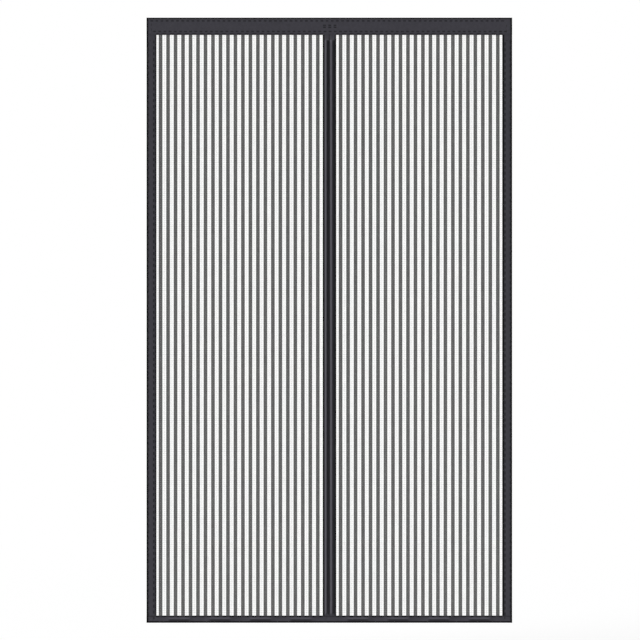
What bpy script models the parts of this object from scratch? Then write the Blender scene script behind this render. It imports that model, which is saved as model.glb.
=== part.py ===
"""Magnetic insect screen for a doorway, hung by the loop tape on the back of its header.

Two halves of striped net are bound with folded tape on every edge. The inner edge of each
half carries a sleeve with a magnet strip in it, so that the halves close by themselves, and
small weights in the hem keep them down. Metres, +Z up, the front faces -Y and the wall is at
+Y. The origin is at the middle of the header tape's back face.
"""

import math

import bmesh
import bpy
from mathutils import Vector

# Overall size, and the clearance kept between neighbouring pieces
SCREEN_WIDTH = 1.208
SCREEN_HEIGHT = 2.000
CLEARANCE = 0.0003

# Binding tape: one ply of it, and how much of the folded tape shows on each edge
PLY = 0.0005
HEADER_HEIGHT = 0.0565
SIDE_WIDTH = 0.032
HEM_HEIGHT = 0.023
SLEEVE_WIDTH = 0.022
FOLD_SEGMENTS = 6

# How far the pieces reach into the fold that holds them
HEADER_TUCK = 0.040
HEM_TUCK = 0.015
NET_IN_SIDE = 0.020
NET_IN_SLEEVE = 0.005
NET_IN_HEM = 0.004

# Net: dark bands are thicker ribs, the sheer bands between them are open but for cross bars
BAND_PITCH = 0.02475
BAND_WIDTH = 0.0114
BAND_START = 0.0142
BAND_THICKNESS = 0.0006
NET_THICKNESS = 0.0003
GAP_ROWS = 5
CROSS_BAR = 0.003

# Magnet strip in each sleeve
MAGNET_WIDTH = 0.010
MAGNET_THICKNESS = 0.0035
MAGNET_INSET = 0.0093
BEAD_BELOW_HEADER = 0.018
BEAD_ABOVE_HEM = 0.004

# Weights in the hem
WEIGHT_LENGTH = 0.066
WEIGHT_HEIGHT = 0.010
WEIGHT_THICKNESS = 0.005
WEIGHT_START = 0.094
WEIGHT_PITCH = 0.134
WEIGHT_RISE = 0.0125

# How far a fold's swelling reaches beside the strip or weight in it, and past its ends
SWELL_MARGIN = 0.0025
SWELL_END = 0.004
SWELL_STEPS = 3
BAR_SEGMENTS = 12
BAR_NOSE = 0.002

# Loop tapes on the back
LOOP_TAPE_THICKNESS = 0.0015
HEADER_TAPE_HEIGHT = 0.038
HEADER_TAPE_END = 0.014
SIDE_TAPE_WIDTH = 0.020
SIDE_TAPE_INSET = 0.005
SIDE_TAPE_BELOW_HEADER = 0.018
SIDE_TAPE_FOOT = 0.007

# Half thickness of a tape folded round the net, and of one folded round such a binding
EDGE_HALF = BAND_THICKNESS / 2 + CLEARANCE + PLY
OUTER_HALF = EDGE_HALF + CLEARANCE + PLY
SLEEVE_BEAD_HALF = MAGNET_THICKNESS / 2 + CLEARANCE + PLY
HEM_BULGE_HALF = WEIGHT_THICKNESS / 2 + CLEARANCE + PLY

# Places: the middle plane of the net, the screen's edges and the opening of each half
MID_Y = -(LOOP_TAPE_THICKNESS + CLEARANCE + OUTER_HALF)
TOP_Z = HEADER_HEIGHT / 2
BOTTOM_Z = TOP_Z - SCREEN_HEIGHT
HEADER_EDGE_Z = TOP_Z - HEADER_HEIGHT
HEM_EDGE_Z = BOTTOM_Z + HEM_HEIGHT
EDGE_X = SCREEN_WIDTH / 2
SPLIT_X = CLEARANCE / 2
OPENING_WIDTH = EDGE_X - SIDE_WIDTH - SLEEVE_WIDTH - SPLIT_X
OPENING_HEIGHT = HEADER_EDGE_Z - HEM_EDGE_Z

# Colours of the finishes
BINDING_GREY = (0.050, 0.048, 0.058)
SATIN_GREY = (0.060, 0.058, 0.068)
LOOP_GREY = (0.035, 0.034, 0.038)
NET_GREY = (0.160, 0.160, 0.155)
MAGNET_BROWN = (0.045, 0.035, 0.030)
WEIGHT_STEEL = (0.450, 0.450, 0.460)


def clear_scene():
    for obj in list(bpy.data.objects):
        bpy.data.objects.remove(obj, do_unlink=True)


def finish_material(name, colour, roughness, metallic=0.0):
    material = bpy.data.materials.new(name)
    material.use_nodes = True
    shader = material.node_tree.nodes["Principled BSDF"]
    shader.inputs["Base Color"].default_value = (*colour, 1.0)
    shader.inputs["Roughness"].default_value = roughness
    shader.inputs["Metallic"].default_value = metallic
    return material


def add_piece(name, bm, material, location, turn=(0.0, 0.0, 0.0), smooth=False):
    """Make one sub-part of a finished bmesh, place it and hang it on the screen's empty."""
    bmesh.ops.recalc_face_normals(bm, faces=bm.faces)
    mesh = bpy.data.meshes.new(name)
    bm.to_mesh(mesh)
    bm.free()
    mesh.materials.append(material)
    if smooth:
        mesh.shade_smooth()
        mesh.set_sharp_from_angle(angle=math.radians(40.0))
    piece = bpy.data.objects.new(name, mesh)
    piece.location = location
    piece.rotation_euler = turn
    piece.parent = screen
    bpy.context.collection.objects.link(piece)
    return piece


def pull(bm, faces, move):
    """Extrude faces, move the new ones and return them."""
    edges = list(dict.fromkeys(edge for face in faces for edge in face.edges))
    grown = bmesh.ops.extrude_face_region(bm, geom=faces + edges)["geom"]
    corners = [item for item in grown if isinstance(item, bmesh.types.BMVert)]
    bmesh.ops.translate(bm, verts=corners, vec=move)
    return [item for item in grown if isinstance(item, bmesh.types.BMFace)]


def fold_section(width, half, marks):
    """Pairs of outer and inner points of a tape folded in half, from one open edge to the other.

    The fold is at x = 0 and the open edges are at x = width, with a ply at each side of y = 0.
    """
    inner = half - PLY
    flat = [width] + [x for x in sorted(marks, reverse=True) if half < x < width]
    pairs = [((x, -half), (x, -inner)) for x in flat]
    for step in range(FOLD_SEGMENTS + 1):
        angle = math.radians(-90.0 - 180.0 * step / FOLD_SEGMENTS)
        along, across = math.cos(angle), math.sin(angle)
        pairs.append(((half + half * along, half * across), (half + inner * along, inner * across)))
    pairs += [((x, half), (x, inner)) for x in reversed(flat)]
    return pairs


def folded_tape(width, half, stations, marks=(), swell=None):
    """A tape folded in half lengthwise, running along +Z through the stations.

    marks are extra lines along the tape, and swell gives how far both plies stand further out
    at a point, so that the fold holds what lies in it.
    """
    bm = bmesh.new()
    rows = []
    for outer, inner in fold_section(width, half, marks):
        rows.append((bm.verts.new((*outer, stations[0])), bm.verts.new((*inner, stations[0]))))
    cap = [bm.faces.new((a[0], b[0], b[1], a[1])) for a, b in zip(rows, rows[1:])]
    for low, high in zip(stations, stations[1:]):
        cap = pull(bm, cap, (0.0, 0.0, high - low))
    if swell:
        for corner in bm.verts:
            rise = swell(corner.co.x, corner.co.z)
            corner.co.y += math.copysign(rise, corner.co.y)
    return bm


def arch(value, centre, reach):
    """The round of a swelling across the tape: 1 at the centre, 0 from reach outwards."""
    return max(0.0, 1.0 - ((value - centre) / reach) ** 2)


def arch_marks(centre, reach):
    """Lines along the tape that give an arch its points."""
    return [centre + reach * step / SWELL_STEPS for step in range(-SWELL_STEPS, SWELL_STEPS + 1)]


def plateau(value, centre, reach):
    """1 within reach of the centre, falling in a soft S to 0 over the swelling's end."""
    share = min(1.0, max(0.0, (abs(value - centre) - reach) / SWELL_END))
    return 1.0 - share * share * (3.0 - 2.0 * share)


def plateau_stations(centre, reach):
    """Places along the tape where a plateau needs points: foot, half height and crest, twice."""
    offsets = [reach + SWELL_END, reach + SWELL_END / 2, reach]
    return [centre - offset for offset in offsets] + [centre + offset for offset in reversed(offsets)]


def rounded_bar(width, thickness, length):
    """A bar of oval section along +Z, from z = 0, with its two ends drawn in."""
    drawn_in = 1.0 - 2.0 * BAR_NOSE / width
    steps = ((BAR_NOSE, 1.0 / drawn_in), (length - 2.0 * BAR_NOSE, 1.0), (BAR_NOSE, drawn_in))
    bm = bmesh.new()
    bmesh.ops.create_circle(bm, cap_ends=True, segments=BAR_SEGMENTS, radius=drawn_in / 2)
    bmesh.ops.scale(bm, verts=bm.verts, vec=(width, thickness, 1.0))
    end = bm.faces[:]
    for rise, growth in steps:
        end = pull(bm, end, (0.0, 0.0, rise))
        corners = list(dict.fromkeys(corner for face in end for corner in face.verts))
        bmesh.ops.scale(bm, verts=corners, vec=(growth, growth, 1.0))
    return bm


def strip(width, thickness, level):
    """The lower end of a flat tape, one corner on the Z axis, ready to be pulled up."""
    bm = bmesh.new()
    corners = ((0.0, 0.0), (width, 0.0), (width, thickness), (0.0, thickness))
    bm.faces.new([bm.verts.new((x, y, level)) for x, y in corners])
    return bm


def rule_sheet(bm, direction, lines):
    """Cut the sheet straight across at each line, counted along the direction."""
    for line in lines:
        geometry = bm.verts[:] + bm.edges[:] + bm.faces[:]
        bmesh.ops.bisect_plane(bm, geom=geometry, plane_co=direction * line, plane_no=direction)


def striped_net(left_margin, right_margin):
    """One half's net. x = 0 is the left edge of what shows of it, and z = 0 is its top."""
    count = 1 + int((OPENING_WIDTH - BAND_START - BAND_WIDTH / 2) / BAND_PITCH)
    middles = [BAND_START + BAND_PITCH * index for index in range(count)]
    edges = [middle + side * BAND_WIDTH / 2 for middle in middles for side in (-1, 1)]
    left, right = -left_margin, OPENING_WIDTH + right_margin
    top, bottom = HEADER_TUCK, -OPENING_HEIGHT - NET_IN_HEM
    row_height = (OPENING_HEIGHT - (GAP_ROWS - 1) * CROSS_BAR) / GAP_ROWS
    gap_tops = [-index * (row_height + CROSS_BAR) for index in range(GAP_ROWS)]
    levels = [z for gap_top in gap_tops for z in (gap_top, gap_top - row_height)]

    bm = bmesh.new()
    corners = [bm.verts.new((x, 0.0, z)) for x, z in
               ((left, bottom), (right, bottom), (right, top), (left, top))]
    bm.faces.new(corners)
    rule_sheet(bm, Vector((1.0, 0.0, 0.0)), [0.0, *edges, OPENING_WIDTH])
    rule_sheet(bm, Vector((0.0, 0.0, 1.0)), levels)

    def in_band(x):
        return any(abs(x - middle) < BAND_WIDTH / 2 for middle in middles)

    def in_gap(x, z):
        in_row = any(gap_top - row_height < z < gap_top for gap_top in gap_tops)
        return in_row and 0.0 < x < OPENING_WIDTH and not in_band(x)

    centres = {face: face.calc_center_median() for face in bm.faces}
    open_cells = [face for face, middle in centres.items() if in_gap(middle.x, middle.z)]
    bmesh.ops.delete(bm, geom=open_cells, context="FACES")
    bmesh.ops.translate(bm, verts=bm.verts, vec=(0.0, -NET_THICKNESS / 2, 0.0))
    pull(bm, bm.faces[:], (0.0, NET_THICKNESS, 0.0))
    bmesh.ops.recalc_face_normals(bm, faces=bm.faces)

    rib_rise = (BAND_THICKNESS - NET_THICKNESS) / 2
    for side in (-1.0, 1.0):
        band_faces = [face for face in bm.faces
                      if face.normal.y * side > 0.5 and in_band(face.calc_center_median().x)]
        pull(bm, band_faces, (0.0, side * rib_rise, 0.0))
    return bm


def build_nets():
    grey = finish_material("net_weave", NET_GREY, 0.7)
    halves = (("net_left", -EDGE_X + SIDE_WIDTH, NET_IN_SIDE, NET_IN_SLEEVE),
              ("net_right", SPLIT_X + SLEEVE_WIDTH, NET_IN_SLEEVE, NET_IN_SIDE))
    for name, x, left_margin, right_margin in halves:
        add_piece(name, striped_net(left_margin, right_margin), grey, (x, MID_Y, HEADER_EDGE_Z))


def build_header():
    grey = finish_material("binding_tape_header", BINDING_GREY, 0.85)
    tape = folded_tape(HEADER_HEIGHT, OUTER_HALF, [-EDGE_X, EDGE_X])
    add_piece("header_binding", tape, grey, (0.0, MID_Y, TOP_Z), (0.0, math.pi / 2, 0.0), smooth=True)


def build_sides():
    grey = finish_material("binding_tape_side", BINDING_GREY, 0.85)
    stations = [HEM_EDGE_Z - HEM_TUCK, HEADER_EDGE_Z + HEADER_TUCK]
    for name, side, turn in (("left_side_binding", -1, 0.0), ("right_side_binding", 1, math.pi)):
        tape = folded_tape(SIDE_WIDTH, EDGE_HALF, stations)
        add_piece(name, tape, grey, (side * EDGE_X, MID_Y, 0.0), (0.0, 0.0, turn), smooth=True)


def weight_places():
    """Distances from the split to the middle of each weight in one half's hem."""
    reach = WEIGHT_LENGTH / 2 + SWELL_END
    room = EDGE_X - SPLIT_X - SIDE_WIDTH - reach - WEIGHT_START
    return [WEIGHT_START + WEIGHT_PITCH * index for index in range(1 + int(room / WEIGHT_PITCH))]


def build_hems():
    grey = finish_material("binding_tape_hem", BINDING_GREY, 0.85)
    places = weight_places()
    rise = HEM_BULGE_HALF - OUTER_HALF
    half_height = WEIGHT_HEIGHT / 2 + SWELL_MARGIN
    stations = [0.0]
    for place in places:
        stations += plateau_stations(place, WEIGHT_LENGTH / 2)
    stations.append(EDGE_X - SPLIT_X)

    def swell(across, along):
        share = sum(plateau(along, place, WEIGHT_LENGTH / 2) for place in places)
        return rise * share * arch(across, WEIGHT_RISE, half_height)

    marks = arch_marks(WEIGHT_RISE, half_height)
    for name, side, turn in (("left_hem_binding", -1, 0.0), ("right_hem_binding", 1, math.pi)):
        tape = folded_tape(HEM_HEIGHT, OUTER_HALF, stations, marks, swell)
        location = (side * SPLIT_X, MID_Y, BOTTOM_Z)
        add_piece(name, tape, grey, location, (0.0, -math.pi / 2, turn), smooth=True)


def build_weights():
    steel = finish_material("hem_weight_steel", WEIGHT_STEEL, 0.35, 1.0)
    for name, side in (("left_hem_weight", -1), ("right_hem_weight", 1)):
        for number, place in enumerate(weight_places(), start=1):
            bar = rounded_bar(WEIGHT_HEIGHT, WEIGHT_THICKNESS, WEIGHT_LENGTH)
            left_end = side * (SPLIT_X + place) - WEIGHT_LENGTH / 2
            location = (left_end, MID_Y, BOTTOM_Z + WEIGHT_RISE)
            add_piece(f"{name}_{number}", bar, steel, location, (0.0, math.pi / 2, 0.0), smooth=True)


def build_sleeves():
    satin = finish_material("magnet_sleeve_satin", SATIN_GREY, 0.45)
    bottom, top = HEM_EDGE_Z - HEM_TUCK, HEADER_EDGE_Z + HEADER_TUCK
    bead_bottom, bead_top = HEM_EDGE_Z + BEAD_ABOVE_HEM, HEADER_EDGE_Z - BEAD_BELOW_HEADER
    middle = (bead_bottom + bead_top) / 2
    reach = (bead_top - bead_bottom) / 2 - SWELL_END
    half_width = MAGNET_WIDTH / 2 + SWELL_MARGIN
    stations = [bottom, *plateau_stations(middle, reach), top]
    rise = SLEEVE_BEAD_HALF - EDGE_HALF

    def swell(across, along):
        return rise * plateau(along, middle, reach) * arch(across, MAGNET_INSET, half_width)

    marks = arch_marks(MAGNET_INSET, half_width)
    for name, side, turn in (("left_magnet_sleeve", -1, math.pi), ("right_magnet_sleeve", 1, 0.0)):
        tape = folded_tape(SLEEVE_WIDTH, EDGE_HALF, stations, marks, swell)
        add_piece(name, tape, satin, (side * SPLIT_X, MID_Y, 0.0), (0.0, 0.0, turn), smooth=True)


def build_magnets():
    brown = finish_material("magnet_strip", MAGNET_BROWN, 0.6)
    bottom = HEM_EDGE_Z + BEAD_ABOVE_HEM + SWELL_END
    length = HEADER_EDGE_Z - BEAD_BELOW_HEADER - SWELL_END - bottom
    for name, side in (("left_magnet_strip", -1), ("right_magnet_strip", 1)):
        bar = rounded_bar(MAGNET_WIDTH, MAGNET_THICKNESS, length)
        add_piece(name, bar, brown, (side * (SPLIT_X + MAGNET_INSET), MID_Y, bottom), smooth=True)


def build_header_loop_tape():
    loops = finish_material("loop_tape_header", LOOP_GREY, 0.95)
    length = SCREEN_WIDTH - 2 * HEADER_TAPE_END
    tape = strip(length, LOOP_TAPE_THICKNESS, -HEADER_TAPE_HEIGHT / 2)
    pull(tape, tape.faces[:], (0.0, 0.0, HEADER_TAPE_HEIGHT))
    add_piece("header_loop_tape", tape, loops, (-length / 2, -LOOP_TAPE_THICKNESS, 0.0))


def build_side_loop_tapes():
    """The side tapes lie on the side bindings, and step out over the thicker hem at their foot."""
    loops = finish_material("loop_tape_side", LOOP_GREY, 0.95)
    step_out = OUTER_HALF - EDGE_HALF
    step_height = 2 * step_out
    foot, knee = BOTTOM_Z + SIDE_TAPE_FOOT, HEM_EDGE_Z + CLEARANCE
    top = HEADER_EDGE_Z - SIDE_TAPE_BELOW_HEADER
    rises = ((0.0, 0.0, knee - foot), (0.0, -step_out, step_height), (0.0, 0.0, top - knee - step_height))
    for name, side in (("left_side_loop_tape", -1), ("right_side_loop_tape", 1)):
        tape = strip(SIDE_TAPE_WIDTH, LOOP_TAPE_THICKNESS, foot)
        end = tape.faces[:]
        for rise in rises:
            end = pull(tape, end, rise)
        middle_x = side * (EDGE_X - SIDE_TAPE_INSET - SIDE_TAPE_WIDTH / 2)
        location = (middle_x - SIDE_TAPE_WIDTH / 2, MID_Y + OUTER_HALF + CLEARANCE, 0.0)
        add_piece(name, tape, loops, location)


clear_scene()
screen = bpy.data.objects.new("insect_screen", None)
bpy.context.collection.objects.link(screen)

build_nets()
build_header()
build_sides()
build_hems()
build_weights()
build_sleeves()
build_magnets()
build_header_loop_tape()
build_side_loop_tapes()
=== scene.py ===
"""Looks of a magnetic insect screen: striped net in two halves, bound with dark tape.

The screen hangs from its header. Metres, +Z up, the front faces -Y, the door frame is at +Y.
"""

import math
from collections import namedtuple
from functools import partial

import bmesh
import bpy
from mathutils import Matrix, Vector, noise


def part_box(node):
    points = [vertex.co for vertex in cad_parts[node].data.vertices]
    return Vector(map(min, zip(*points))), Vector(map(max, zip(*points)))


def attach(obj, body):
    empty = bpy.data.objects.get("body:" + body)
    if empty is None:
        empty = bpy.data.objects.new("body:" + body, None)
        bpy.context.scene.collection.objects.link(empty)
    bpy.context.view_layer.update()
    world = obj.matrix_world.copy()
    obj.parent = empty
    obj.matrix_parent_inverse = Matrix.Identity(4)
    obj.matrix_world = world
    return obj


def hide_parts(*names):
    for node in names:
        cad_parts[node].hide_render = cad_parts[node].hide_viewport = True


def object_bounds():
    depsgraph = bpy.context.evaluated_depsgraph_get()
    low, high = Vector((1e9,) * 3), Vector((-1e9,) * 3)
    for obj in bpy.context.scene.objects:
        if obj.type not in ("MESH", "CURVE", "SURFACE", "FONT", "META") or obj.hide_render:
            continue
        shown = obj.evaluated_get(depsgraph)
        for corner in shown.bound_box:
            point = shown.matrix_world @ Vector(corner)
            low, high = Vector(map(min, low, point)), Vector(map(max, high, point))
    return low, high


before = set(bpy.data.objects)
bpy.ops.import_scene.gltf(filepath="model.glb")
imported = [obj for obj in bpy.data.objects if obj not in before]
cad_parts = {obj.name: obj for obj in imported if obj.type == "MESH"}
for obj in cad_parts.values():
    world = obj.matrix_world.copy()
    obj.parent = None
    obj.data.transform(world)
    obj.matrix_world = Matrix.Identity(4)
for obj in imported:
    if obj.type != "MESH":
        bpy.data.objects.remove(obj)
cad_low, cad_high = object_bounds()


# Camera
# The photograph looks straight at the screen from far off, with white on every side, so the
# camera stands level and square to it. The outline's four edges in the picture give the framing.
PICTURE_PX = 640
LEFT_EDGE_PX = 146.63
RIGHT_EDGE_PX = 512.06
TOP_EDGE_PX = 17.75
BOTTOM_EDGE_PX = 622.67
CAMERA_DISTANCE = 8.0

metres_per_px = (cad_high.z - cad_low.z) / (BOTTOM_EDGE_PX - TOP_EDGE_PX)
screen_middle = (cad_low + cad_high) / 2
right_shift = (PICTURE_PX - LEFT_EDGE_PX - RIGHT_EDGE_PX) / 2 * metres_per_px
down_shift = (PICTURE_PX - TOP_EDGE_PX - BOTTOM_EDGE_PX) / 2 * metres_per_px
camera = bpy.data.objects.new("camera", bpy.data.cameras.new("camera"))
camera.location = screen_middle + Vector((right_shift, -CAMERA_DISTANCE, -down_shift))
camera.rotation_euler = (math.pi / 2, 0.0, 0.0)
camera.data.lens = camera.data.sensor_width * CAMERA_DISTANCE / (PICTURE_PX * metres_per_px)
bpy.context.collection.objects.link(camera)
bpy.context.scene.camera = camera
bpy.context.scene.view_settings.view_transform = "Standard"


# Studio
# Plain white surroundings with one wide soft light from the upper left front, a second one from
# behind for the back of the screen, and a pale floor a little below the hem.
AMBIENT = 0.10
WHITE = (1.0, 1.0, 1.0, 1.0)
KEY_FROM = Vector((-0.86, -0.30, 0.37))
KEY_ANGLE = math.radians(34.0)
REAR_FROM = Vector((0.10, 0.95, 0.30))
REAR_ANGLE = math.radians(30.0)
REAR_LEVEL = 0.60
FLOOR_DROP = 0.10
FLOOR_RADIUS = 7.0
FLOOR_SEGMENTS = 96
FLOOR_GREY = (0.70, 0.70, 0.70, 1.0)
FLOOR_WHITE_NEAR = 0.90
FLOOR_FADE_START = 2.0
FLOOR_FADE_END = 4.0


class Value:
    """An output of a node. Arithmetic on it adds Math nodes."""

    def __init__(self, nodes, socket):
        self.nodes = nodes
        self.socket = socket

    def maths(self, operation, first, second=0.0):
        return self.nodes.add("ShaderNodeMath", {"operation": operation}, {0: first, 1: second})

    def __add__(self, other):
        return self.maths("ADD", self, other)

    def __sub__(self, other):
        return self.maths("SUBTRACT", self, other)

    def __rsub__(self, other):
        return self.maths("SUBTRACT", other, self)

    def __mul__(self, other):
        return self.maths("MULTIPLY", self, other)

    __radd__ = __add__
    __rmul__ = __mul__

    def size(self):
        """Its distance from 0."""
        return self.maths("ABSOLUTE", self)

    def wave(self, pitch):
        """A sine from -1 to 1 that repeats every pitch."""
        return self.maths("SINE", self * (2 * math.pi / pitch))

    def fade(self, start, end):
        """1 up to start, falling softly to 0 at end."""
        limits = {"Value": self, "From Min": start, "From Max": end, "To Min": 1.0, "To Max": 0.0}
        return self.nodes.add("ShaderNodeMapRange", {"interpolation_type": "SMOOTHSTEP"}, limits)


class Nodes:
    """The node tree of a finish or of the studio's surroundings."""

    def __init__(self, tree):
        self.tree = tree
        tree.nodes.clear()

    def add(self, kind, settings, inputs, output=0):
        """Add a node, its settings first, and give each named socket a value or a link."""
        node = self.tree.nodes.new(kind)
        for name, setting in settings.items():
            setattr(node, name, setting)
        for name, value in inputs.items():
            if isinstance(value, Value):
                self.tree.links.new(value.socket, node.inputs[name])
            else:
                node.inputs[name].default_value = value
        return Value(self, node.outputs[output]) if node.outputs else node

    def seen_directly(self):
        """1 for camera, mirror and see-through rays, which show the white surroundings."""
        rays = ("Is Camera Ray", "Is Glossy Ray", "Is Transmission Ray")
        camera_ray, glossy_ray, clear_ray = (self.add("ShaderNodeLightPath", {}, {}, ray) for ray in rays)
        settings = {"operation": "ADD", "use_clamp": True}
        return self.add("ShaderNodeMath", settings, {0: camera_ray, 1: glossy_ray + clear_ray})

    def coat(self, colour, tone, looks):
        """Make the material's surface: the colour times a tone, and its other looks."""
        shade = self.add("ShaderNodeVectorMath", {"operation": "SCALE"}, {0: colour, "Scale": tone})
        surface = self.add("ShaderNodeBsdfPrincipled", {}, {"Base Color": shade, **looks})
        self.add("ShaderNodeOutputMaterial", {}, {"Surface": surface})


def finish_nodes(name):
    """A new material and its empty node tree."""
    material = bpy.data.materials.new(name)
    material.use_nodes = True
    return material, Nodes(material.node_tree)


def build(name, bm, finishes, crease=math.pi):
    """Make the object of a shape, smooth but for the edges that bend more than the crease."""
    mesh = bpy.data.meshes.new(name)
    bm.to_mesh(mesh)
    bm.free()
    for finish in finishes:
        mesh.materials.append(finish)
    mesh.shade_smooth()
    mesh.set_sharp_from_angle(angle=crease)
    built = bpy.data.objects.new(name, mesh)
    bpy.context.collection.objects.link(built)
    return built


def add_sun(name, source, angle, level):
    """A wide, far light that brings a surface square to the Y axis to the level."""
    light = bpy.data.lights.new(name, "SUN")
    light.angle = angle
    light.energy = level * math.pi * source.length / abs(source.y)
    lamp = bpy.data.objects.new(name, light)
    lamp.rotation_euler = source.to_track_quat("Z", "Y").to_euler()
    bpy.context.collection.objects.link(lamp)


add_sun("key_light", KEY_FROM, KEY_ANGLE, 1.0 - AMBIENT)
add_sun("rear_light", REAR_FROM, REAR_ANGLE, REAR_LEVEL)

bpy.context.scene.world = bpy.data.worlds.new("white_surroundings")
bpy.context.scene.world.use_nodes = True
sky = Nodes(bpy.context.scene.world.node_tree)
sky_level = AMBIENT + (1.0 - AMBIENT) * sky.seen_directly()
sky_light = sky.add("ShaderNodeBackground", {}, {"Color": WHITE, "Strength": sky_level})
sky.add("ShaderNodeOutputWorld", {}, {"Surface": sky_light})

floor_finish, paint = finish_nodes("pale_floor")
ground = paint.add("ShaderNodeNewGeometry", {}, {}, "Position")
level_place = paint.add("ShaderNodeVectorMath", {"operation": "MULTIPLY"}, {0: ground, 1: (1.0, 1.0, 0.0)})
away = paint.add("ShaderNodeVectorMath", {"operation": "LENGTH"}, {0: level_place}, "Value")
white_share = 1.0 - away.fade(FLOOR_FADE_START, FLOOR_FADE_END) * (1.0 - FLOOR_WHITE_NEAR)
matt = paint.add("ShaderNodeBsdfDiffuse", {}, {"Color": FLOOR_GREY})
white = paint.add("ShaderNodeEmission", {}, {"Color": WHITE, "Strength": 1.0})
shown = paint.add("ShaderNodeMixShader", {}, {0: white_share * paint.seen_directly(), 1: matt, 2: white})
paint.add("ShaderNodeOutputMaterial", {}, {"Surface": shown})

bm = bmesh.new()
bmesh.ops.create_circle(bm, cap_ends=True, segments=FLOOR_SEGMENTS, radius=FLOOR_RADIUS)
bmesh.ops.translate(bm, verts=bm.verts, vec=(0.0, 0.0, cad_low.z - FLOOR_DROP))
floor = build("floor", bm, [floor_finish])


# Net
# Two pieces of polyester net, each woven in one go: dense bands of thick dark grey yarn, and sheer
# stretches of fine pale thread with a pair of dark threads down their middle. A dark weft crosses
# both at every fifth row. The folded tapes hold all four edges.
BAND_PITCH = 0.02475
BAND_WIDTH = 0.0121
LEFT_BAND_START = 0.0140
RIGHT_BAND_START = 0.0150
BAND_COUNT = 22
YARNS_IN_BAND = 14
YARN_SIDES = 6
YARN_WIDTH = 0.00087
YARN_THICKNESS = 0.00062
BAND_MIDDLE_GAP = 0.00004
FINE_WIDTH = 0.00009
FINE_SETBACK = FINE_WIDTH / 3
FINE_COLUMNS = 10
PAIR_WIDTH = 0.00016
PAIR_SPACING = 0.0004
DARK_WEFT_PITCH = 0.006824
DARK_WEFT_WIDTH = 0.00027
DARK_WEFT_START = 0.0059
ROWS_PER_DARK_WEFT = 5
NET_CREASE = math.radians(80.0)
YARN_GREY = (0.112, 0.112, 0.111)
PALE_GREY = (0.72, 0.72, 0.71)
DARK_GREY = (0.040, 0.040, 0.042)
YARN_ROUGHNESS = 0.75
THREAD_ROUGHNESS = 0.6
THREAD_SHINE = 0.05
STREAKS_PER_METRE = (850.0, 850.0, 15.0)
STREAK_CONTRAST = 0.12
STREAK_DETAIL = 2.0
# Painted shade on the band yarns where they dip under a dark weft
CROSSING_PAINTED_SHADE = 0.06
BAND_YARN, PALE_THREAD, DARK_THREAD = range(3)

side_low, side_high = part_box("left_side_binding")
header_low, header_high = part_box("header_binding")
hem_low, hem_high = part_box("left_hem_binding")
sleeve_low, sleeve_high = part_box("left_magnet_sleeve")
mid_y = (side_low.y + side_high.y) / 2
edge_x = header_high.x
top_z, header_edge_z = header_high.z, header_low.z
bottom_z, hem_edge_z = hem_low.z, hem_high.z
side_width = side_high.x - side_low.x
sleeve_width = sleeve_high.x - sleeve_low.x


def pull(bm, faces, move):
    """Extrude faces by a move and return the new end faces."""
    edges = list(dict.fromkeys(edge for face in faces for edge in face.edges))
    grown = bmesh.ops.extrude_face_region(bm, geom=faces + edges)["geom"]
    corners = [item for item in grown if isinstance(item, bmesh.types.BMVert)]
    bmesh.ops.translate(bm, verts=corners, vec=move)
    return [item for item in grown if isinstance(item, bmesh.types.BMFace)]


def add_yarn(bm, width, thickness, start, reach, finish_index):
    """A straight six-sided yarn from its start along its reach, flat side to the front."""
    turn = reach.to_track_quat("Z", "Y").to_matrix().to_4x4()
    place = Matrix.Translation(start) @ turn @ Matrix.Diagonal((width, thickness, 1.0, 1.0))
    place = place @ Matrix.Rotation(math.pi / 2, 4, "Z")
    section = bmesh.ops.create_circle(bm, cap_ends=True, segments=YARN_SIDES, radius=0.5, matrix=place)
    ring = section["verts"]
    end = pull(bm, list(ring[0].link_faces), reach)
    faces = list(dict.fromkeys(face for corner in end[0].verts for face in corner.link_faces))
    faces += [face for face in ring[0].link_faces if face not in faces]
    for face in faces:
        face.material_index = finish_index
    edges = list(dict.fromkeys(edge for face in faces for edge in face.edges))
    corners = list(dict.fromkeys(corner for face in faces for corner in face.verts))
    return corners + edges + faces


def repeat(bm, geometry, move, copies):
    """Set more copies of the geometry beside it, one move further each time."""
    bmesh.ops.spin(
        bm, geom=geometry, cent=(0.0, 0.0, 0.0), axis=(0.0, 0.0, 1.0),
        dvec=move, angle=0.0, steps=copies, use_duplicate=True,
    )


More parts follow.
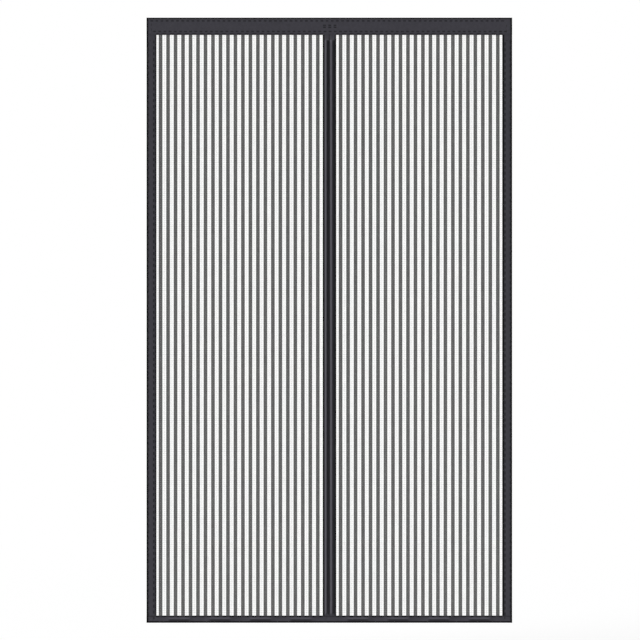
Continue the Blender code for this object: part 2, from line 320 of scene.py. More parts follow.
def weave_net(name, first_middle, net_low, net_high):
    """One half's net, its bands counted from the middle of the leftmost."""
    upright = Vector((0.0, 0.0, net_high.z - net_low.z))
    level = Vector((net_high.x - net_low.x, 0.0, 0.0))
    fine_pitch = (BAND_PITCH - BAND_WIDTH) / FINE_COLUMNS
    yarn_pitch = BAND_WIDTH / YARNS_IN_BAND

    def warp(x, width, thickness, depth, finish_index):
        start = Vector((x, mid_y + depth, net_low.z))
        return add_yarn(bm, width, thickness, start, upright, finish_index)

    bm = bmesh.new()
    band = []
    for index in range(YARNS_IN_BAND):
        offset = (index - (YARNS_IN_BAND - 1) / 2) * yarn_pitch
        offset += math.copysign(BAND_MIDDLE_GAP / 2, offset)
        band += warp(first_middle + offset, YARN_WIDTH, YARN_THICKNESS, 0.0, BAND_YARN)
    repeat(bm, band, (BAND_PITCH, 0.0, 0.0), BAND_COUNT - 1)

    sheer = []
    for index in range(1, FINE_COLUMNS):
        x = first_middle + BAND_WIDTH / 2 + index * fine_pitch
        if 2 * index == FINE_COLUMNS:
            for side in (-1, 1):
                sheer += warp(x + side * PAIR_SPACING / 2, PAIR_WIDTH, PAIR_WIDTH, 0.0, DARK_THREAD)
        else:
            sheer += warp(x, FINE_WIDTH, FINE_WIDTH, -FINE_SETBACK, PALE_THREAD)
    repeat(bm, sheer, (BAND_PITCH, 0.0, 0.0), BAND_COUNT - 2)

    first_edge = first_middle - BAND_WIDTH / 2
    last_edge = first_middle + (BAND_COUNT - 1) * BAND_PITCH + BAND_WIDTH / 2
    for edge, side, limit in ((first_edge, -1, net_low.x), (last_edge, 1, net_high.x)):
        margin = warp(edge + side * fine_pitch, FINE_WIDTH, FINE_WIDTH, -FINE_SETBACK, PALE_THREAD)
        repeat(bm, margin, (side * fine_pitch, 0.0, 0.0), int(abs(limit - edge) / fine_pitch) - 2)

    row_pitch = DARK_WEFT_PITCH / ROWS_PER_DARK_WEFT
    lowest = header_edge_z - DARK_WEFT_START
    lowest -= DARK_WEFT_PITCH * int((lowest - net_low.z - DARK_WEFT_WIDTH) / DARK_WEFT_PITCH)
    start = Vector((net_low.x, mid_y - YARN_THICKNESS / 2 - DARK_WEFT_WIDTH / 6, lowest))
    rows = add_yarn(bm, DARK_WEFT_WIDTH, DARK_WEFT_WIDTH, start, level, DARK_THREAD)
    for index in range(1, ROWS_PER_DARK_WEFT):
        start = Vector((net_low.x, mid_y + FINE_SETBACK, lowest + index * row_pitch))
        rows += add_yarn(bm, FINE_WIDTH, FINE_WIDTH, start, level, PALE_THREAD)
    repeat(bm, rows, (0.0, 0.0, DARK_WEFT_PITCH), int((net_high.z - lowest) / DARK_WEFT_PITCH) - 1)

    bmesh.ops.recalc_face_normals(bm, faces=bm.faces)
    return build(name, bm, thread_finishes, NET_CREASE)


def thread_finish(name, colour, roughness, crossing=0.0):
    """Spun polyester: streaks along each yarn, and painted shade where it dips under each dark weft."""
    material, paint = finish_nodes(name)
    place = paint.add("ShaderNodeTexCoord", {}, {}, "Object")
    stretched = {0: place, 1: STREAKS_PER_METRE}
    streaks_at = paint.add("ShaderNodeVectorMath", {"operation": "MULTIPLY"}, stretched)
    streaked = {"Vector": streaks_at, "Scale": 1.0, "Detail": STREAK_DETAIL}
    streaks = paint.add("ShaderNodeTexNoise", {}, streaked)
    height = paint.add("ShaderNodeSeparateXYZ", {}, {"Vector": place}, "Z")
    from_weft = height - (header_edge_z - DARK_WEFT_START + DARK_WEFT_PITCH / 4)
    tone = 1.0 - STREAK_CONTRAST / 2 + STREAK_CONTRAST * streaks
    tone = tone * (1.0 - crossing * from_weft.wave(-DARK_WEFT_PITCH))
    paint.coat(colour, tone, {"Roughness": roughness, "Specular IOR Level": THREAD_SHINE})
    return material


thread_finishes = (
    thread_finish("band_yarn", YARN_GREY, YARN_ROUGHNESS, CROSSING_PAINTED_SHADE),
    thread_finish("pale_thread", PALE_GREY, THREAD_ROUGHNESS),
    thread_finish("dark_thread", DARK_GREY, THREAD_ROUGHNESS),
)
left_middle = side_high.x + LEFT_BAND_START
right_middle = sleeve_width - sleeve_high.x + RIGHT_BAND_START
net_left = weave_net("net_left_woven", left_middle, *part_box("net_left"))
net_right = weave_net("net_right_woven", right_middle, *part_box("net_right"))
for net, node in ((net_left, "net_left"), (net_right, "net_right")):
    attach(net, "root")
    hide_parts(node)


# Side bindings
# A woven polyester tape is folded in half over each outer edge of the net and sewn through with
# two seams, which also hold the loop tape on its back. The seams draw the cloth in a little.
PLY = 0.0005
FOLD_STEPS = 8
FOLD_PRESSED = 0.35
FOLD_ROLL = 0.0003
EDGE_OVER = 0.0003
TAPE_CREASE = math.radians(60.0)
SIDE_SEAMS = (0.0060, 0.0238)
SIDE_STITCH_PITCH = 0.01943
SIDE_STITCH_COUNT = 98
LEFT_COLUMN_TOP_PX = 43.94
RIGHT_COLUMN_TOP_PX = 41.98
SIDE_LINE_STEP = 0.0019
SIDE_FULLNESS = 0.00015
SIDE_FULLNESS_END = 0.004
SEAM_DENT = 0.00022
SEAM_DENT_REACH = 0.0016
SEAM_DENT_MEAN = 0.65
PUCKER = 0.00012
PUCKERS_ACROSS = 40.0
PUCKERS_ALONG = 25.0
TAPE_GREY = (0.0350, 0.0339, 0.0409)
RIB_PITCH = 0.0016
PICK_PITCH = 0.0012
WEAVE_CONTRAST = 0.08
WEAVE_DEPTH = 0.0003
WEAVE_BUMP = 0.35
WEAVE_SHARE = 0.5
MOTTLE = 0.30
MOTTLES_PER_METRE = 120.0
MOTTLE_DETAIL = 4.0
CLOTH_ROUGHNESS = 0.85
CLOTH_SHINE = 0.04
SHEEN_ROUGHNESS = 0.4
# How much of the painted shade and highlight on the tapes also shows on their back
BACK_PAINTED_LIGHT = 0.35
FACE_CHANGE = 0.0001
# Painted shade in the dent round each stitch
STITCH_SHADE = 0.72
STITCH_WAVE = (-0.4, 0.3)
STITCH_REACH = (0.0010, 0.0031)
SEAM_END_FADE = 0.002
# Painted shade along the left-facing and right-facing folds and open edges of the tapes
FACES_LEFT = (0.88, 0.0043, 0.0072)
FACES_RIGHT = (0.62, 0.0040, 0.0062)
RIGHT_OUTER = (0.85, 0.0044, 0.0070)

Cloth = namedtuple("Cloth", "along across worn")


def smooth_share(value, start, end):
    """0 up to start, rising in a soft S to 1 at end."""
    share = min(1.0, max(0.0, (value - start) / (end - start)))
    return share * share * (3.0 - 2.0 * share)


def plateau(value, low, high, slope):
    """1 between low and high, falling softly to 0 within the slope's length outside them."""
    return smooth_share(value, low - slope, low) * (1.0 - smooth_share(value, high, high + slope))


def seam_dents(seams, across, along, pitch):
    """How far the seams draw the cloth in, most at the middle of each stitch."""
    stitch = SEAM_DENT_MEAN + (1.0 - SEAM_DENT_MEAN) * math.cos(2 * math.pi * along / pitch)
    beside = sum(math.exp(-((across - seam) / SEAM_DENT_REACH) ** 2) for seam in seams)
    return SEAM_DENT * beside * stitch


def seam_lines(seams):
    """Lines along a tape that its seams' dents need, at each middle and on both sides."""
    return [seam + shift * SEAM_DENT_REACH for seam in seams for shift in (-1, 0, 1)]


def draw_edge(bm, edge, move):
    """Extrude one edge of a flat section and return the new edge."""
    grown = bmesh.ops.extrude_edge_only(bm, edges=[edge])["geom"]
    corners = [item for item in grown if isinstance(item, bmesh.types.BMVert)]
    bmesh.ops.translate(bm, verts=corners, vec=move)
    return next(item for item in grown if isinstance(item, bmesh.types.BMEdge))


def even_steps(low, high, step):
    """Places from low to high, as near the step apart as fits."""
    count = max(1, round((high - low) / step))
    return [low + (high - low) * index / count for index in range(count + 1)]


def lay_tape(name, bm, stations, lift, corner, across, finish):
    """Draw a flat section out to every station, lift its cloth, and set it at its corner.

    The distances along and across the tape stay with it as its UV map.
    """
    count = len(stations) - 1
    pull(bm, bm.faces[:], (0.0, 0.0, count))
    lengthways = [edge for edge in bm.edges if abs(edge.verts[0].co.z - edge.verts[1].co.z) > 0.5]
    bmesh.ops.subdivide_edges(bm, edges=lengthways, cuts=count - 1)
    for point in bm.verts:
        point.co.z = stations[round(point.co.z)]
    uv = bm.loops.layers.uv.new("tape")
    for face in bm.faces:
        for loop in face.loops:
            spot = loop.vert.co
            loop[uv].uv = (spot.z, math.copysign(spot.x, spot.y))
    for point in bm.verts:
        point.co.y += lift(*point.co)

    along = Vector((1.0, 0.0, 0.0)) if across.z else Vector((0.0, 0.0, 1.0))
    axes = Matrix((across, (0.0, 1.0, 0.0), along)).transposed().to_4x4()
    bmesh.ops.transform(bm, matrix=Matrix.Translation(corner) @ axes, verts=bm.verts)
    bmesh.ops.recalc_face_normals(bm, faces=bm.faces)
    return build(name, bm, [finish], TAPE_CREASE)


def folded_tape(name, width, half, marks, stations, relief, corner, across, finish):
    """A tape folded in half: two plies at half from the middle plane, the fold at the corner.

    marks are lines along the tape, stations the places along it, and relief gives how far the
    cloth stands out at a side, a distance across and one along.
    """
    bm = bmesh.new()
    edge = bm.edges.new([bm.verts.new((width, -half, 0.0)), bm.verts.new((width, PLY - half, 0.0))])
    lines = [mark for mark in sorted(marks) if half < mark < width]
    reached = width
    for mark in [*reversed(lines), half]:
        edge = draw_edge(bm, edge, (mark - reached, 0.0, 0.0))
        reached = mark
    turned = bmesh.ops.spin(
        bm, geom=[edge, *edge.verts], cent=(half, 0.0, 0.0), axis=(0.0, 0.0, 1.0),
        angle=-math.pi, steps=FOLD_STEPS,
    )["geom_last"]
    edge = next(item for item in turned if isinstance(item, bmesh.types.BMEdge))
    for mark in [*lines, width]:
        edge = draw_edge(bm, edge, (mark - reached, 0.0, 0.0))
        reached = mark
    for point in bm.verts:
        if point.co.x < half + PLY / 10:
            point.co.x *= FOLD_PRESSED

    def lift(x, y, z):
        side = math.copysign(1.0, y)
        return side * relief(side, x, z) * smooth_share(x, 0.0, half)

    return lay_tape(name, bm, stations, lift, corner, across, finish)


def fold_shade(cloth, share, start, stop):
    """Painted shade at the fold: a share taken off the tone, fading between two distances from it."""
    return 1.0 - cloth.worn * share * cloth.across.fade(start, stop)


def edge_shade(cloth, width, share, start, stop):
    """The same painted shade along the open edges of a folded tape, whose plies are this wide."""
    return 1.0 - cloth.worn * share * (width - cloth.across).fade(start, stop)


def stitch_shade(cloth, seam, first, pitch, low, high):
    """Painted shade round each stitch of a seam, where the cloth is drawn in: its place across, first
    stitch, pitch and two ends.
    """
    over_stitch = 1.0 - (cloth.along - first + pitch / 4).wave(pitch).fade(*STITCH_WAVE)
    sewn = cloth.along.fade(high, high + SEAM_END_FADE)
    sewn = sewn * (1.0 - cloth.along.fade(low - SEAM_END_FADE, low))
    beside = (cloth.across - seam).size().fade(*STITCH_REACH)
    return 1.0 - STITCH_SHADE * (over_stitch * sewn * beside)


def cloth_finish(name, colour, shades, sheen=0.0):
    """Woven tape: fine ribs and picks and a little mottle, times each painted shade or highlight worked
    out for it.

    A shade is a function followed by its values. It gets the places along and across the cloth,
    and how much of the painted light and shade shows there, less on the back.
    """
    material, paint = finish_nodes(name)
    spot = paint.add("ShaderNodeUVMap", {"uv_map": "tape"}, {})
    along = paint.add("ShaderNodeSeparateXYZ", {}, {"Vector": spot}, "X")
    signed_across = paint.add("ShaderNodeSeparateXYZ", {}, {"Vector": spot}, "Y")
    across = signed_across.size()
    worn = BACK_PAINTED_LIGHT + (1.0 - BACK_PAINTED_LIGHT) * signed_across.fade(0.0, FACE_CHANGE)
    place = paint.add("ShaderNodeTexCoord", {}, {}, "Object")
    mottling = {"Vector": place, "Scale": MOTTLES_PER_METRE, "Detail": MOTTLE_DETAIL}
    mottle = paint.add("ShaderNodeTexNoise", {}, mottling)
    cross = along.wave(RIB_PITCH) * across.wave(PICK_PITCH)
    tone = (1.0 - MOTTLE / 2 + MOTTLE * mottle) * (1.0 + WEAVE_CONTRAST * cross)
    for shade, *values in shades:
        tone = tone * shade(Cloth(along, across, worn), *values)
    woven = {"Strength": WEAVE_BUMP, "Distance": WEAVE_DEPTH, "Height": WEAVE_SHARE * cross + mottle}
    looks = {
        "Roughness": CLOTH_ROUGHNESS, "Specular IOR Level": CLOTH_SHINE,
        "Sheen Weight": sheen, "Sheen Roughness": SHEEN_ROUGHNESS,
        "Normal": paint.add("ShaderNodeBump", {}, woven),
    }
    paint.coat(colour, tone, looks)
    return material


def at_px(x_px, y_px):
    """The place (x, z) on the screen of a point in the picture."""
    x = screen_middle.x + (x_px - (LEFT_EDGE_PX + RIGHT_EDGE_PX) / 2) * metres_per_px
    return x, top_z - (y_px - TOP_EDGE_PX) * metres_per_px


def seam_row(seam, first, pitch, count, way=1):
    """A seam for a finish: its place across, first stitch, pitch, and its two ends in order."""
    ends = sorted((first - way * pitch / 2, first + way * (count - 0.5) * pitch))
    return seam, first, pitch, *ends


side_half = (side_high.y - side_low.y) / 2
side_stations = even_steps(side_low.z, side_high.z, SIDE_STITCH_PITCH / 4)
side_marks = even_steps(side_half, side_width, SIDE_LINE_STEP) + seam_lines(SIDE_SEAMS)


def side_relief(side, across, along):
    """Drawn in at both seams, and a little uneven between them."""
    open_length = plateau(along, hem_edge_z, header_edge_z, SIDE_FULLNESS_END)
    dents = seam_dents(SIDE_SEAMS, across, along, SIDE_STITCH_PITCH)
    spot = Vector((across * PUCKERS_ACROSS, side, along * PUCKERS_ALONG))
    return open_length * (PUCKER * noise.noise(spot) + SIDE_FULLNESS - dents)


outer_seam, inner_seam = SIDE_SEAMS
left_top, right_top = at_px(0.0, LEFT_COLUMN_TOP_PX)[1], at_px(0.0, RIGHT_COLUMN_TOP_PX)[1]
for name, node, finish_name, side, fold, edge, columns in (
    (
        "left_side_tape", "left_side_binding", "binding_tape_left", -1, FACES_LEFT, FACES_RIGHT,
        ((outer_seam, left_top), (inner_seam, right_top)),
    ),
    (
        "right_side_tape", "right_side_binding", "binding_tape_right", 1, RIGHT_OUTER, FACES_LEFT,
        ((inner_seam, left_top), (outer_seam, right_top)),
    ),
):
    shades = [(fold_shade, *fold), (edge_shade, side_width, *edge)]
    for seam, first in columns:
        shades.append((stitch_shade, *seam_row(seam, first, SIDE_STITCH_PITCH, SIDE_STITCH_COUNT, -1)))
    corner = Vector((side * (edge_x + FOLD_ROLL), mid_y, 0.0))
    tape = folded_tape(
        name, side_width + FOLD_ROLL + EDGE_OVER, side_half, side_marks, side_stations, side_relief,
        corner, Vector((-side, 0.0, 0.0)), cloth_finish(finish_name, TAPE_GREY, shades),
    )
    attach(tape, "root")
    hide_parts(node)


# Magnet sleeves
# Along the inner edge of each half a satin-faced tape is folded round a flexible magnet strip, which
# fills a rounded bead from just below the header to just above the hem. The two beads pull together
# and close the screen. Above them the tape is a flat tab that runs under the header.
HALVES_MEET = 0.0004
POCKET_RISE = 0.00135
POCKET_SLOPE = 0.0012
POCKET_LINE_STEP = 0.00065
POCKET_TOP_SLACK = 0.0020
POCKET_END_ROUND = 0.0008
BEAD_RISE = 0.0038
BEAD_END = 0.004
BEAD_STEP = 0.012
BEAD_END_STEP = 0.0008
LEFT_BEAD = (0.0001, 0.0016, 0.0030)
RIGHT_BEAD = (-0.00065, 0.0018, 0.0034)
FLAT_STEP = 0.008
FLAT_LINE_STEP = 0.002
SATIN_PUCKER = 0.00006
SATIN_PUCKERS_ACROSS = 60.0
SATIN_PUCKERS_ALONG = 18.0
SATIN_GREY = (0.0390, 0.0378, 0.0448)
SATIN_SHEEN = 0.06
# Painted shade along each sleeve's fold and open edge
LEFT_SLEEVE_FOLD = (0.10, 0.0008, 0.0018)
LEFT_SLEEVE_EDGE = (0.97, 0.0042, 0.0074)
RIGHT_SLEEVE_FOLD = (0.60, 0.0006, 0.0016)
RIGHT_SLEEVE_EDGE = (0.75, 0.0040, 0.0068)

strip_low, strip_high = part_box("left_magnet_strip")
bead_bottom, bead_top = strip_low.z + POCKET_END_ROUND, strip_high.z + POCKET_TOP_SLACK
sleeve_stations = [sleeve_low.z]
for reached, step in (
    (bead_bottom - BEAD_END, FLAT_STEP), (bead_bottom, BEAD_END_STEP), (bead_top, BEAD_STEP),
    (bead_top + BEAD_END, BEAD_END_STEP), (sleeve_high.z, FLAT_STEP),
):
    sleeve_stations += even_steps(sleeve_stations[-1], reached, step)[1:]


def bead_relief(side, across, along, pocket, shift, top_half, shoulder):
    """The pocket that the strip fills, with a rounder bead along its front, drawn in at both ends."""
    rise = POCKET_RISE * plateau(across, *pocket, POCKET_SLOPE)
    if side < 0:
        middle = sum(pocket) / 2 + shift
        bead = plateau(across, middle - top_half, middle + top_half, shoulder)
        rise = max(rise, BEAD_RISE * bead)
    spot = Vector((across * SATIN_PUCKERS_ACROSS, side, along * SATIN_PUCKERS_ALONG))
    return rise * plateau(along, bead_bottom, bead_top, BEAD_END) + SATIN_PUCKER * noise.noise(spot)


for name, node, side, bead, fold, edge in (
    ("left_sleeve", "left_magnet_sleeve", -1, LEFT_BEAD, LEFT_SLEEVE_FOLD, LEFT_SLEEVE_EDGE),
    ("right_sleeve", "right_magnet_sleeve", 1, RIGHT_BEAD, RIGHT_SLEEVE_FOLD, RIGHT_SLEEVE_EDGE),
):
    width = sleeve_width + EDGE_OVER
    shades = [(fold_shade, *fold), (edge_shade, width, *edge)]
    satin = cloth_finish(f"{name}_satin", SATIN_GREY, shades, SATIN_SHEEN)
    pocket = sorted(side * (end.x - HALVES_MEET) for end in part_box(node.replace("sleeve", "strip")))
    marks = even_steps(pocket[0] - POCKET_SLOPE, pocket[1] + POCKET_SLOPE, POCKET_LINE_STEP)
    marks += even_steps(pocket[1] + POCKET_SLOPE, width, FLAT_LINE_STEP)
    shift, top_half, shoulder = bead
    relief = partial(bead_relief, pocket=pocket, shift=shift, top_half=top_half, shoulder=shoulder)
    sleeve = folded_tape(
        name, width, side_half, marks, sleeve_stations, relief,
        Vector((HALVES_MEET, mid_y, 0.0)), Vector((side, 0.0, 0.0)), satin,
    )
    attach(sleeve, "root")
    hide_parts(node)


# Hems
# The lower edge of each half is bound with the same folded tape, and steel weights are slipped
# into its fold, so that each one shows as a long low swelling in the cloth.
HEM_LINE_STEP = 0.0011
HEM_STEP = 0.003
SWELLING_RISE = 0.0013
SWELLING_SLOPE = 0.0045
SWELLING_END = 0.020
SWELLING_CREST = 0.0122
SWELLING_CREST_BLEND = 0.0006
SWELLING_WAVE = (-0.30, 0.25)
SWELLING_LAST_FADE = 0.005
# Painted highlight above and painted shade below each swelling's crest
SWELLING_PAINTED_HIGHLIGHT = 0.42
SWELLING_PAINTED_SHADE = 0.45
PAINTED_HIGHLIGHT_REACH = (0.0170, 0.0200)
PAINTED_SHADE_START = (0.0040, 0.0060)
HEM_ROLL = 0.0006
HEM_ROLL_FADE = (0.0045, 0.0080)
HEM_PUCKER = 0.00008
HEM_PUCKERS_ACROSS = 60.0
HEM_PUCKERS_ALONG = 30.0
# Painted shade along the hem's fold and upper edge, deeper over the sheer stretches
HEM_FOLD = (0.86, 0.0050, 0.0066)
HEM_EDGE = (0.35, 0.0034, 0.0048)
HEM_SHEER_EDGE = 0.92
NET_END_BLEND = 0.0005
SHEER_WAVE = (-0.3, 0.5)

hem_half = (header_high.y - header_low.y) / 2
hem_height = hem_edge_z - bottom_z
hem_marks = even_steps(hem_half, hem_height, HEM_LINE_STEP)
left_weights = [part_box(f"left_hem_weight_{number}") for number in range(1, 5)]
right_weights = [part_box(f"right_hem_weight_{number}") for number in range(1, 5)]


def sheer_edge_shade(cloth, width, sheer_share, share, start, stop):
    """An edge's painted shade, with another share where the edge lies over the net's sheer stretches."""
    from_middle = cloth.along.size()
    over_net = 1.0 - from_middle.fade(sleeve_width - NET_END_BLEND, sleeve_width + NET_END_BLEND)
    over_net = over_net * from_middle.fade(-side_high.x - NET_END_BLEND, -side_high.x + NET_END_BLEND)
    over_sheer = (cloth.along - left_middle + BAND_PITCH / 4).wave(BAND_PITCH).fade(*SHEER_WAVE)
    share = share + (sheer_share - share) * (over_net * over_sheer)
    return edge_shade(cloth, width, share, start, stop)


def end_shade(cloth, place, share, start, stop):
    """Painted shade at an end of the tape: a share taken off the tone, fading between two distances from
    it.
    """
    return 1.0 - cloth.worn * share * (cloth.along - place).size().fade(start, stop)


def swelling_shade(cloth, first, pitch, last):
    """Painted highlight above and painted shade below the crest over each weight, from the first to the
    last.
    """
    from_middle = cloth.along.size()
    over_weight = 1.0 - (from_middle - first + pitch / 4).wave(pitch).fade(*SWELLING_WAVE)
    last_end = last + pitch / 2
    over_weight = over_weight * from_middle.fade(last_end - SWELLING_LAST_FADE, last_end)
    below = cloth.across.fade(SWELLING_CREST - SWELLING_CREST_BLEND, SWELLING_CREST + SWELLING_CREST_BLEND)
    painted_highlight = SWELLING_PAINTED_HIGHLIGHT * ((1.0 - below) * cloth.across.fade(*PAINTED_HIGHLIGHT_REACH))
    painted_shade = SWELLING_PAINTED_SHADE * (below * (1.0 - cloth.across.fade(*PAINTED_SHADE_START)))
    return 1.0 + cloth.worn * over_weight * (painted_highlight - painted_shade)


def hem_relief(side, across, along, weights):
    """A long swelling over each weight, and a low roll along the fold between them."""
    over = 0.0
    for low, high in weights:
        upright = plateau(across, low.z - bottom_z, high.z - bottom_z, SWELLING_SLOPE)
        over += upright * plateau(along, low.x, high.x, SWELLING_END)
    roll = HEM_ROLL * (1.0 - over) * (1.0 - smooth_share(across, *HEM_ROLL_FADE))
    spot = Vector((along * HEM_PUCKERS_ALONG, side, across * HEM_PUCKERS_ACROSS))
    return SWELLING_RISE * over + roll + HEM_PUCKER * noise.noise(spot)


weight_middles = [(low.x + high.x) / 2 for low, high in right_weights]
weight_pitch = weight_middles[1] - weight_middles[0]
end_shades = [(end_shade, -edge_x, *FACES_LEFT), (end_shade, edge_x, *RIGHT_OUTER)]
hem_shades = [
    (fold_shade, *HEM_FOLD),
    (sheer_edge_shade, hem_height, HEM_SHEER_EDGE, *HEM_EDGE),
    *end_shades,
    (swelling_shade, weight_middles[0], weight_pitch, weight_middles[-1]),
]
hem_finish = cloth_finish("binding_tape_hem", TAPE_GREY, hem_shades)
for name, node, side, weights in (
    ("left_hem_tape", "left_hem_binding", -1, left_weights),
    ("right_hem_tape", "right_hem_binding", 1, right_weights),
):
    ends = sorted((HALVES_MEET, side * (edge_x + FOLD_ROLL)))
    hem = folded_tape(
        name, hem_height + FOLD_ROLL + EDGE_OVER, hem_half, hem_marks, even_steps(*ends, HEM_STEP),
        partial(hem_relief, weights=weights),
        Vector((0.0, mid_y, bottom_z - FOLD_ROLL)), Vector((0.0, 0.0, 1.0)), hem_finish,
    )
    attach(hem, "root")
    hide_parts(node)


# Header
# One wider folded tape runs across the top of both halves and holds them side by side. It is sewn
# in a long box round the loop tape on its back, and tacked over the two sleeves.
HEADER_LINE_STEP = 0.0024
HEADER_SEAMS = (0.0109, 0.0459)
HEADER_STITCH_PITCH = 0.01706
HEADER_STITCH_COUNT = 69
UPPER_ROW_PX = 151.64
LOWER_ROW_PX = 154.62
TACK_PX = 329.7
TACK_ROWS = (0.0256, 0.0322)
TACK_PITCH = 0.0175
TACK_COUNT = 3
HEADER_GREY = (0.0370, 0.0358, 0.0432)
# Painted shade along the header's fold and lower edge, deeper over the sheer stretches
HEADER_FOLD = (0.80, 0.0026, 0.0064)
HEADER_EDGE = (0.08, 0.0028, 0.0065)
HEADER_SHEER_EDGE = 0.70

header_height = top_z - header_edge_z
header_marks = even_steps(hem_half, header_height, HEADER_LINE_STEP) + seam_lines(HEADER_SEAMS)
header_rows = [
    seam_row(seam, at_px(first_px, 0.0)[0], HEADER_STITCH_PITCH, HEADER_STITCH_COUNT)
    for seam, first_px in zip(HEADER_SEAMS, (UPPER_ROW_PX, LOWER_ROW_PX))
]
tack_first = at_px(TACK_PX, 0.0)[0] - TACK_PITCH
header_rows += [seam_row(row, tack_first, TACK_PITCH, TACK_COUNT) for row in TACK_ROWS]
header_shades = [
    (fold_shade, *HEADER_FOLD),
    (sheer_edge_shade, header_height, HEADER_SHEER_EDGE, *HEADER_EDGE),
    *end_shades,
    *((stitch_shade, *row) for row in header_rows),
]


def header_relief(side, across, along):
    """Drawn in at the two long seams, and a little uneven."""
    spot = Vector((along * PUCKERS_ALONG, side, across * PUCKERS_ACROSS))
    return PUCKER * noise.noise(spot) - seam_dents(HEADER_SEAMS, across, along, HEADER_STITCH_PITCH)


header = folded_tape(
    "header_tape", header_height + FOLD_ROLL + EDGE_OVER, hem_half, header_marks,
    even_steps(header_low.x - FOLD_ROLL, header_high.x + FOLD_ROLL, HEADER_STITCH_PITCH / 4),
    header_relief, Vector((0.0, mid_y, top_z + FOLD_ROLL)), Vector((0.0, 0.0, -1.0)),
    cloth_finish("binding_tape_header", HEADER_GREY, header_shades),
)
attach(header, "root")
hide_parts("header_binding")


# Loop tapes
# The soft half of hook-and-loop tape is sewn to the back of the header and of both side
# bindings: a woven band with plain flat edges, and a napped field of tiny loops between them.
SELVEDGE_WIDTH = 0.0024
SELVEDGE_THICKNESS = 0.0006
LOOP_STEP = 0.004
NAP_LINE_STEP = 0.0028
NAP_SHOULDER = 0.0012
NAP_UNEVENNESS = 0.00022
NAPS_ACROSS = 400.0
NAPS_ALONG = 330.0
LOOP_GREY = (0.024, 0.0235, 0.027)
LOOP_ROUGHNESS = 0.95
LOOP_SHINE = 0.08
LOOP_SHEEN = 0.15
LOOP_DEPTH = 0.0004
LOOP_BUMP = 0.6
CURLS_PER_METRE = 900.0
CURL_CONTRAST = 0.5
CLUMPS_PER_METRE = 260.0
CLUMP_DETAIL = 3.0
CLUMP_CONTRAST = 0.6
DARKEST_LOOPS = 0.55

loop_finish, paint = finish_nodes("loop_tape")
place = paint.add("ShaderNodeTexCoord", {}, {}, "Object")
curls = paint.add("ShaderNodeTexVoronoi", {}, {"Vector": place, "Scale": CURLS_PER_METRE})
clumped = {"Vector": place, "Scale": CLUMPS_PER_METRE, "Detail": CLUMP_DETAIL}
clumps = paint.add("ShaderNodeTexNoise", {}, clumped)
napped = {"Strength": LOOP_BUMP, "Distance": LOOP_DEPTH, "Height": curls + clumps}
looks = {
    "Roughness": LOOP_ROUGHNESS, "Specular IOR Level": LOOP_SHINE, "Sheen Weight": LOOP_SHEEN,
    "Normal": paint.add("ShaderNodeBump", {}, napped),
}
paint.coat(LOOP_GREY, DARKEST_LOOPS + CLUMP_CONTRAST * clumps + CURL_CONTRAST * curls, looks)


def loop_tape(name, node, across, step_out):
    """The tape that stands for a CAD loop tape, napped to the back, its foot stepped out."""
    low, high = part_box(node)
    size = high - low
    if across.z:
        width, length_low, length_high = size.z, low.x, high.x
        corner = Vector((0.0, low.y, low.z))
    else:
        width, length_low, length_high = size.x, low.z, high.z
        corner = Vector((low.x, low.y, 0.0))
    pile_height = size.y - step_out - SELVEDGE_THICKNESS
    shoulder = [SELVEDGE_WIDTH, SELVEDGE_WIDTH + NAP_SHOULDER / 2, SELVEDGE_WIDTH + NAP_SHOULDER]
    marks = [0.0, *shoulder, *even_steps(shoulder[-1], width - shoulder[-1], NAP_LINE_STEP)[1:-1]]
    marks += [width - mark for mark in reversed(shoulder)] + [width]
    bm = bmesh.new()
    edge = bm.edges.new([bm.verts.new((0.0, 0.0, 0.0)), bm.verts.new((0.0, SELVEDGE_THICKNESS, 0.0))])
    for near, far in zip(marks, marks[1:]):
        edge = draw_edge(bm, edge, (far - near, 0.0, 0.0))

    def lift(x, y, z):
        step = 0.0
        if step_out:
            step = step_out * (1.0 - smooth_share(z, hem_edge_z, hem_edge_z + 2 * step_out))
        if y <= 0.0:
            return step
        from_selvedge = min(x, width - x) - SELVEDGE_WIDTH
        pile = smooth_share(from_selvedge, -NAP_SHOULDER / 4, NAP_SHOULDER)
        ragged = NAP_UNEVENNESS * (noise.noise(Vector((x * NAPS_ACROSS, z * NAPS_ALONG, 0.0))) - 1.0)
        return step + pile * (pile_height + ragged)

    stations = even_steps(length_low, length_high, LOOP_STEP)
    tape = lay_tape(name, bm, stations, lift, corner, across, loop_finish)
    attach(tape, "root")
    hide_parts(node)


foot_step = hem_half - side_half
loop_tape("header_loop_band", "header_loop_tape", Vector((0.0, 0.0, 1.0)), 0.0)
loop_tape("left_side_loop_band", "left_side_loop_tape", Vector((1.0, 0.0, 0.0)), foot_step)
loop_tape("right_side_loop_band", "right_side_loop_tape", Vector((1.0, 0.0, 0.0)), foot_step)


# Sewing
# Black thread in straight lock stitches that show on both faces: a long box round the header's
# loop tape, two short rows that tack the sleeves under the header, two seams down each side below
# a short cross stitch, and single stitches at the ends of the hem.
STITCH_WIDTH = 0.0019
STITCH_DEPTH = 0.0010
STITCH_ROUND = {"u_segments": 8, "v_segments": 6, "radius": 0.5}
HEADER_STITCH_LENGTH = 0.0105
SIDE_STITCH_LENGTH = 0.0127
HEADER_ENDS_PX = ((151.4, 24.6), (506.6, 25.9))
LEFT_CROSS_PX = (150.35, 40.5)
RIGHT_CROSS_PX = (506.5, 40.5)
CORNER_STITCHES_PX = (
    (148.4, 618.9), (153.6, 617.9), (154.1, 617.9), (504.5, 617.9), (505.0, 617.9), (509.9, 617.9),
)
THREAD_BLACK = (0.009, 0.009, 0.011)
SEWING_ROUGHNESS = 0.6
SEWING_SHINE = 0.15
TWIST_PITCH = 0.0011
TWIST_CONTRAST = 0.3
TWIST_DEPTH = 0.0002
TWIST_BUMP = 0.5
FRONTWARDS = Vector((0.0, -1.0, 0.0))
RIGHTWARDS = Vector((1.0, 0.0, 0.0))
DOWNWARDS = Vector((0.0, 0.0, -1.0))

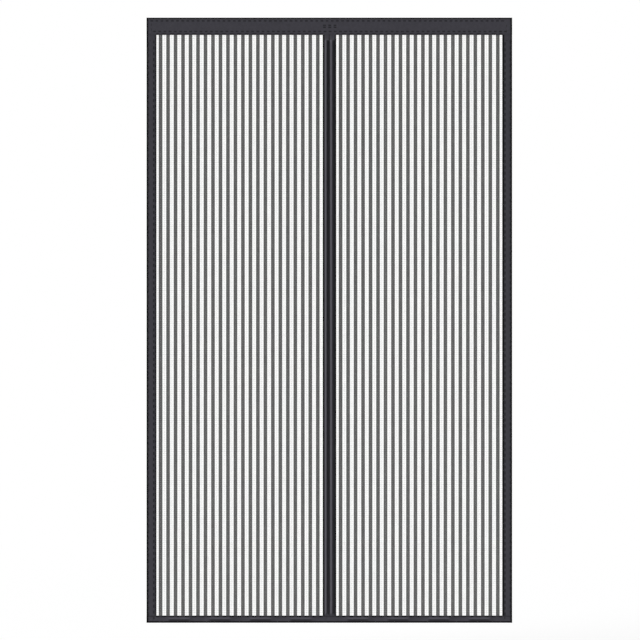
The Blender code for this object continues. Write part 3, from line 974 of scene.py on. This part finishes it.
sewing, paint = finish_nodes("sewing_thread")
place = paint.add("ShaderNodeTexCoord", {}, {}, "Object")
x, z = (paint.add("ShaderNodeSeparateXYZ", {}, {"Vector": place}, axis) for axis in "XZ")
twist = (x + z).wave(TWIST_PITCH)
twisted = {"Strength": TWIST_BUMP, "Distance": TWIST_DEPTH, "Height": twist}
looks = {
    "Roughness": SEWING_ROUGHNESS, "Specular IOR Level": SEWING_SHINE,
    "Normal": paint.add("ShaderNodeBump", {}, twisted),
}
paint.coat(THREAD_BLACK, 1.0 + TWIST_CONTRAST * twist, looks)


def sew(name, seams, half, node):
    """Stitches on both faces. A seam is its first middle (x, z), stitch length, run and count."""
    bm = bmesh.new()
    for (x, z), length, run, count in seams:
        axes = Matrix((FRONTWARDS.cross(run).normalized(), FRONTWARDS, run.normalized()))
        shape = axes.transposed().to_4x4() @ Matrix.Diagonal((STITCH_WIDTH, STITCH_DEPTH, length, 1.0))
        points = []
        for y in (mid_y - half + SEAM_DENT / 2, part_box(node)[0].y + SELVEDGE_THICKNESS):
            place = Matrix.Translation((x, y, z)) @ shape
            points += bmesh.ops.create_uvsphere(bm, matrix=place, **STITCH_ROUND)["verts"]
        faces = list(dict.fromkeys(face for point in points for face in point.link_faces))
        edges = list(dict.fromkeys(edge for face in faces for edge in face.edges))
        if count > 1:
            repeat(bm, points + edges + faces, run, count - 1)
    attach(build(name, bm, [sewing]), "root")


column_run = DOWNWARDS * HEADER_STITCH_PITCH
header_seams = [
    ((first, top_z - seam), HEADER_STITCH_LENGTH, RIGHTWARDS * pitch, round((high - low) / pitch))
    for seam, first, pitch, low, high in header_rows
]
header_seams += [(at_px(*end_px), HEADER_STITCH_LENGTH, column_run, 2) for end_px in HEADER_ENDS_PX]
sew("header_stitching", header_seams, hem_half, "header_loop_tape")

side_run = DOWNWARDS * SIDE_STITCH_PITCH
for name, node, left_column, right_column, cross_px in (
    (
        "left_side_stitching", "left_side_loop_tape",
        -edge_x + outer_seam, -edge_x + inner_seam, LEFT_CROSS_PX,
    ),
    (
        "right_side_stitching", "right_side_loop_tape",
        edge_x - inner_seam, edge_x - outer_seam, RIGHT_CROSS_PX,
    ),
):
    side_seams = [
        ((left_column, left_top), SIDE_STITCH_LENGTH, side_run, SIDE_STITCH_COUNT),
        ((right_column, right_top), SIDE_STITCH_LENGTH, side_run, SIDE_STITCH_COUNT),
        (at_px(*cross_px), HEADER_STITCH_LENGTH, RIGHTWARDS, 1),
    ]
    sew(name, side_seams, side_half, node)

corner_seams = [(at_px(*spot_px), HEADER_STITCH_LENGTH, side_run, 1) for spot_px in CORNER_STITCHES_PX]
sew("hem_corner_stitching", corner_seams, hem_half, "header_loop_tape")


# Magnet strips and hem weights
# Flexible magnet strip and plain steel bars lie inside the folds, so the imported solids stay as
# they are and only get their finish.
MAGNET_BROWN = (0.045, 0.035, 0.030)
MAGNET_ROUGHNESS = 0.55
MAGNET_GRAIN = 700.0
STEEL_GREY = (0.45, 0.45, 0.46)
STEEL_ROUGHNESS = 0.35
STEEL_GRAIN = 250.0
GRAIN_CONTRAST = 0.4
GRAIN_DETAIL = 4.0
GRAIN_DEPTH = 0.0002
GRAIN_BUMP = 0.2


def hidden_finish(name, colour, roughness, metallic, grain):
    """A plain moulded or drawn surface with a faint grain."""
    material, paint = finish_nodes(name)
    place = paint.add("ShaderNodeTexCoord", {}, {}, "Object")
    grains = {"Vector": place, "Scale": grain, "Detail": GRAIN_DETAIL}
    specks = paint.add("ShaderNodeTexNoise", {}, grains)
    grained = {"Strength": GRAIN_BUMP, "Distance": GRAIN_DEPTH, "Height": specks}
    bump = paint.add("ShaderNodeBump", {}, grained)
    tone = 1.0 - GRAIN_CONTRAST / 2 + GRAIN_CONTRAST * specks
    paint.coat(colour, tone, {"Roughness": roughness, "Metallic": metallic, "Normal": bump})
    return material


magnet_brown = hidden_finish("magnet_strip", MAGNET_BROWN, MAGNET_ROUGHNESS, 0.0, MAGNET_GRAIN)
weight_steel = hidden_finish("hem_weight_steel", STEEL_GREY, STEEL_ROUGHNESS, 1.0, STEEL_GRAIN)
for node_name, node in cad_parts.items():
    if "magnet_strip" in node_name or "hem_weight" in node_name:
        node.data.materials.clear()
        node.data.materials.append(weight_steel if "weight" in node_name else magnet_brown)
